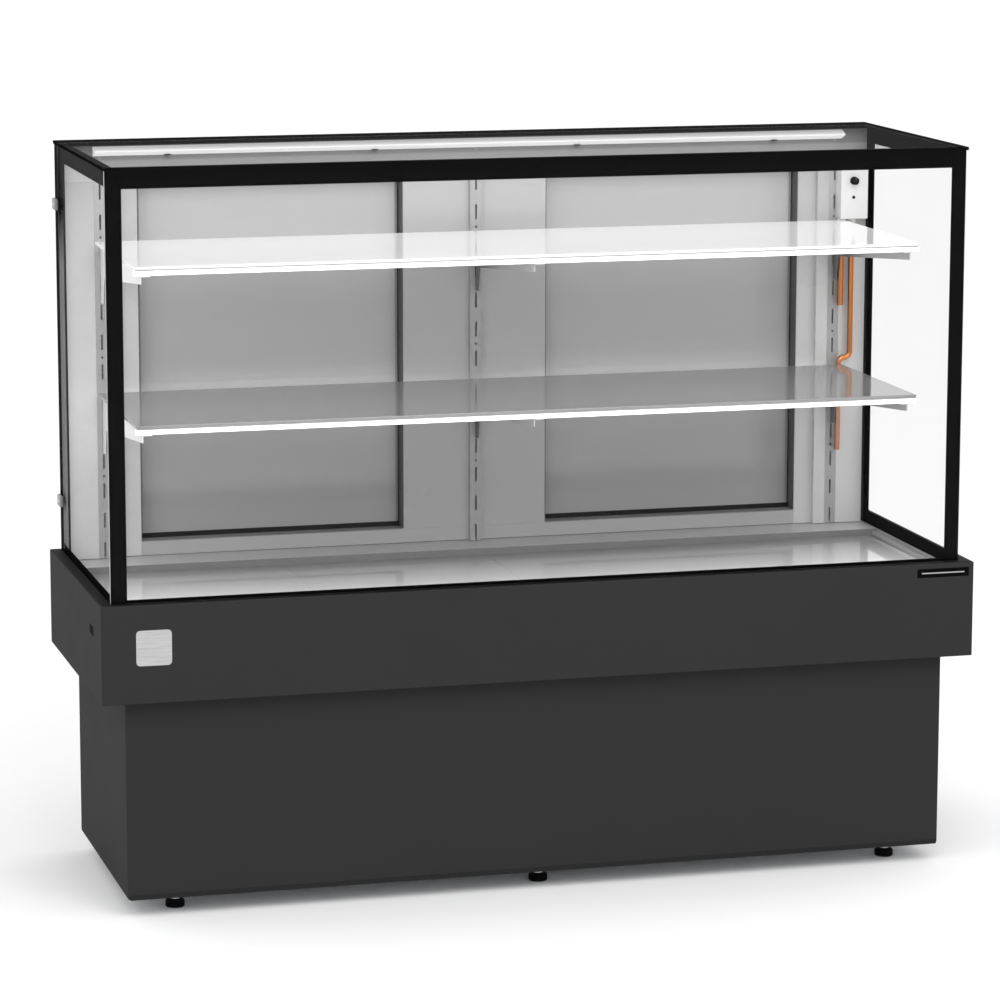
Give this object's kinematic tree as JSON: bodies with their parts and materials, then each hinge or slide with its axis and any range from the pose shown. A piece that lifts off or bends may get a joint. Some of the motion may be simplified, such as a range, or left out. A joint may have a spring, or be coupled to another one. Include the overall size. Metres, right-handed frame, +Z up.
{
  "type": "refrigerated deli case",
  "caption": "Free-standing refrigerated display counter: glass box with lit shelves on slotted uprights, deck, plinth with cooling unit, hinged rear doors and levelling feet.",
  "frame": {"origin": "centre of the bounding box's base, on the floor", "axes": "+Z up, -Y towards the customer, +X to the right as the customer sees it"},
  "size_m": [1.75, 0.66, 1.44],
  "materials": {
    "charcoal_paint": "satin",
    "light_paint": "satin",
    "insulated_panel": "satin",
    "black_plastic": "satin",
    "white_plastic": "gloss",
    "stainless": "satin",
    "galvanised": "matte",
    "aluminium": "satin",
    "copper": "satin",
    "clear_glass": "polished",
    "shelf_glass": "polished",
    "compressor_steel": "satin",
    "rubber": "matte"
  },
  "bodies": {
    "case": {"base_plate": "galvanised", "plinth_shell": "charcoal_paint", "rear_grille": "charcoal_paint", "power_inlet": "black_plastic", "deck_skirt": "charcoal_paint", "insulated_tub": "insulated_panel", "floor_panel_1": "stainless", "floor_panel_2": "stainless", "floor_panel_3": "stainless", "floor_panel_4": "stainless", "duct_cover": "stainless", "front_glass": "clear_glass", "left_glass": "clear_glass", "right_glass": "clear_glass", "roof_glass": "clear_glass", "rear_header": "insulated_panel", "rear_sill": "insulated_panel", "rear_mullion": "insulated_panel", "left_column": "insulated_panel", "right_column": "insulated_panel", "left_upright": "light_paint", "middle_upright": "light_paint", "right_upright": "light_paint", "upper_shelf": "shelf_glass", "lower_shelf": "shelf_glass", "upper_led_rail": "white_plastic", "lower_led_rail": "white_plastic", "upper_left_bracket": "light_paint", "upper_middle_bracket": "light_paint", "upper_right_bracket": "light_paint", "lower_left_bracket": "light_paint", "lower_middle_bracket": "light_paint", "lower_right_bracket": "light_paint", "header_lamp": "white_plastic", "control_box": "white_plastic", "copper_line": "copper", "sensor_pocket": "copper", "left_hinge_rail": "aluminium", "right_hinge_rail": "aluminium", "compressor": "compressor_steel", "condenser": "aluminium", "condenser_fan_motor": "galvanised", "evaporator": "aluminium", "evaporator_fan_motor": "galvanised", "drain_pan": "black_plastic"},
    "left_door": {"left_door_frame": "insulated_panel", "left_door_pane": "clear_glass", "left_door_handle": "aluminium"},
    "right_door": {"right_door_frame": "insulated_panel", "right_door_pane": "clear_glass", "right_door_handle": "aluminium"},
    "front_left_foot": {"foot_front_left": "rubber"},
    "front_middle_foot": {"foot_front_middle": "rubber"},
    "front_right_foot": {"foot_front_right": "rubber"},
    "rear_left_foot": {"foot_rear_left": "rubber"},
    "rear_middle_foot": {"foot_rear_middle": "rubber"},
    "rear_right_foot": {"foot_rear_right": "rubber"},
    "condenser_fan_rotor": {"condenser_fan": "black_plastic"},
    "evaporator_fan_rotor": {"evaporator_fan": "black_plastic"},
    "thermostat_dial": {"thermostat_knob": "black_plastic"}
  },
  "joints": [
    {"name": "left_door_hinge", "type": "hinge", "parent": "case", "child": "left_door", "pos_m": [-0.717, 0.2895, 1], "axis": [0, 0, 1], "range_deg": [0, 100]},
    {"name": "right_door_hinge", "type": "hinge", "parent": "case", "child": "right_door", "pos_m": [0.717, 0.2895, 1], "axis": [0, 0, -1], "range_deg": [0, 100]},
    {"name": "front_left_foot_screw", "type": "slide", "parent": "case", "child": "front_left_foot", "axis": [0, 0, -1], "range_m": [0, 0.015]},
    {"name": "front_middle_foot_screw", "type": "slide", "parent": "case", "child": "front_middle_foot", "axis": [0, 0, -1], "range_m": [0, 0.015]},
    {"name": "front_right_foot_screw", "type": "slide", "parent": "case", "child": "front_right_foot", "axis": [0, 0, -1], "range_m": [0, 0.015]},
    {"name": "rear_left_foot_screw", "type": "slide", "parent": "case", "child": "rear_left_foot", "axis": [0, 0, -1], "range_m": [0, 0.015]},
    {"name": "rear_middle_foot_screw", "type": "slide", "parent": "case", "child": "rear_middle_foot", "axis": [0, 0, -1], "range_m": [0, 0.015]},
    {"name": "rear_right_foot_screw", "type": "slide", "parent": "case", "child": "rear_right_foot", "axis": [0, 0, -1], "range_m": [0, 0.015]},
    {"name": "condenser_fan_spin", "type": "hinge", "parent": "case", "child": "condenser_fan_rotor", "pos_m": [-0.44, 0.065, 0.225], "axis": [0, 1, 0], "continuous": true},
    {"name": "evaporator_fan_spin", "type": "hinge", "parent": "case", "child": "evaporator_fan_rotor", "pos_m": [-0.12, -0.07, 0.527], "axis": [0, 1, 0], "continuous": true},
    {"name": "thermostat_turn", "type": "hinge", "parent": "case", "child": "thermostat_dial", "pos_m": [0.801, 0.192, 1.3265], "axis": [0, -1, 0], "range_deg": [0, 270]}
  ]
}
